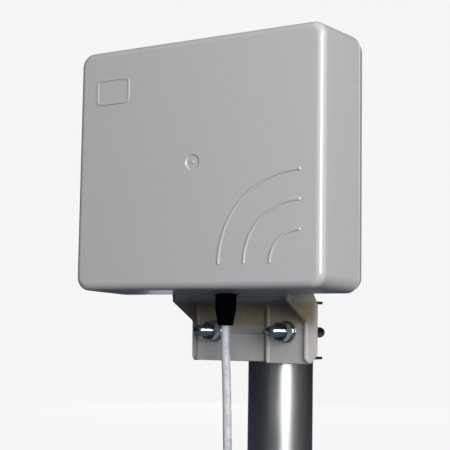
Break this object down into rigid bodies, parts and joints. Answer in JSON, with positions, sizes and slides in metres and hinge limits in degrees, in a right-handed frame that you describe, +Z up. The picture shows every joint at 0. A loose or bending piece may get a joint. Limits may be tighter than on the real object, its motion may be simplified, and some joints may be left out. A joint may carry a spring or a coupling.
{
  "type": "flat panel directional antenna",
  "caption": "Flat rectangular panel antenna on a moulded bracket, clamped to a round pole by a U-bolt and toothed jaw, with a short coaxial lead and screw-on plug.",
  "frame": {"origin": "centre of the panel's flat rear face", "axes": "+Z up, -Y is the way the antenna faces, +Y points back to the pole, +X is to the right for someone looking at the antenna's front face"},
  "size_m": [0.204, 0.1641, 0.3925],
  "materials": {
    "housing_grey": "satin moulded ASA, very fine grain",
    "bracket_grey": "satin glass-filled moulding",
    "zinc_steel": "bright zinc plate",
    "pole_steel": "drawn galvanised tube",
    "boot_rubber": "matt black",
    "coax_jacket": "white jacket",
    "aluminium_sheet": "mill finish",
    "board_laminate": "coated circuit laminate",
    "white_nylon": "natural nylon",
    "brass": "machined",
    "gasket_rubber": "matt black",
    "nickel": "nickel plate",
    "insulator": "white dielectric"
  },
  "bodies": {
    "mast": {"mast_stub": "pole_steel"},
    "antenna": {"front_radome": "housing_grey", "rear_cover": "housing_grey", "mount_bracket": "bracket_grey", "spring_washer_left": "zinc_steel", "spring_washer_right": "zinc_steel", "flat_washer_left": "zinc_steel", "flat_washer_right": "zinc_steel", "saddle_jaw": "zinc_steel", "bracket_screw_1": "zinc_steel", "bracket_screw_2": "zinc_steel", "bracket_screw_3": "zinc_steel", "bracket_screw_4": "zinc_steel", "cover_screw_1": "zinc_steel", "cover_screw_2": "zinc_steel", "cover_screw_3": "zinc_steel", "cover_screw_4": "zinc_steel", "cover_screw_5": "zinc_steel", "cover_screw_6": "zinc_steel", "reflector_screw_1": "zinc_steel", "reflector_screw_2": "zinc_steel", "reflector_screw_3": "zinc_steel", "reflector_screw_4": "zinc_steel", "strain_relief_boot": "boot_rubber", "coax_feed_tail": "coax_jacket", "reflector_tray": "aluminium_sheet", "driven_patch": "aluminium_sheet", "director_patch": "aluminium_sheet", "feed_board": "board_laminate", "patch_post_1": "white_nylon", "patch_post_2": "white_nylon", "patch_post_3": "white_nylon", "patch_post_4": "white_nylon", "bracket_insert_1": "brass", "bracket_insert_2": "brass", "bracket_insert_3": "brass", "bracket_insert_4": "brass", "feed_pin": "brass", "seam_gasket": "gasket_rubber"},
    "u_bolt_body": {"u_bolt": "zinc_steel"},
    "nut_left_body": {"nut_left": "zinc_steel"},
    "nut_right_body": {"nut_right": "zinc_steel"},
    "lead": {"coax_cable": "coax_jacket", "crimp_ferrule": "nickel", "connector_body": "nickel", "connector_insulator": "insulator", "connector_pin": "brass"},
    "plug_nut": {"connector_coupling_nut": "nickel"}
  },
  "joints": [
    {"name": "azimuth_swivel", "type": "hinge", "parent": "mast", "child": "antenna", "pos_m": [0, 0.0642, -0.1153], "axis": [0, 0, 1], "continuous": true},
    {"name": "nut_turn_right", "type": "hinge", "parent": "antenna", "child": "nut_right_body", "pos_m": [0.0304, 0.0065, -0.1153], "axis": [0, -1, 0], "range_deg": [0, 5040]},
    {"name": "nut_turn_left", "type": "hinge", "parent": "antenna", "child": "nut_left_body", "pos_m": [-0.0304, 0.0065, -0.1153], "axis": [0, -1, 0], "range_deg": [0, 5040]},
    {"name": "u_bolt_slide", "type": "slide", "parent": "antenna", "child": "u_bolt_body", "axis": [0, 1, 0], "range_m": [0, 0.0175]},
    {"name": "lead_swing", "type": "hinge", "parent": "antenna", "child": "lead", "pos_m": [0, -0.0188, -0.1151], "axis": [0, 1, 0], "range_deg": [-30, 30]},
    {"name": "plug_nut_spin", "type": "hinge", "parent": "lead", "child": "plug_nut", "pos_m": [0.0046, -0.0188, -0.29], "axis": [0, 0, 1], "continuous": true}
  ],
  "couplings": [
    {"joint": "nut_turn_right", "follows": "u_bolt_slide", "rad_per_m": 5026.5},
    {"joint": "nut_turn_left", "follows": "u_bolt_slide", "rad_per_m": 5026.5}
  ]
}
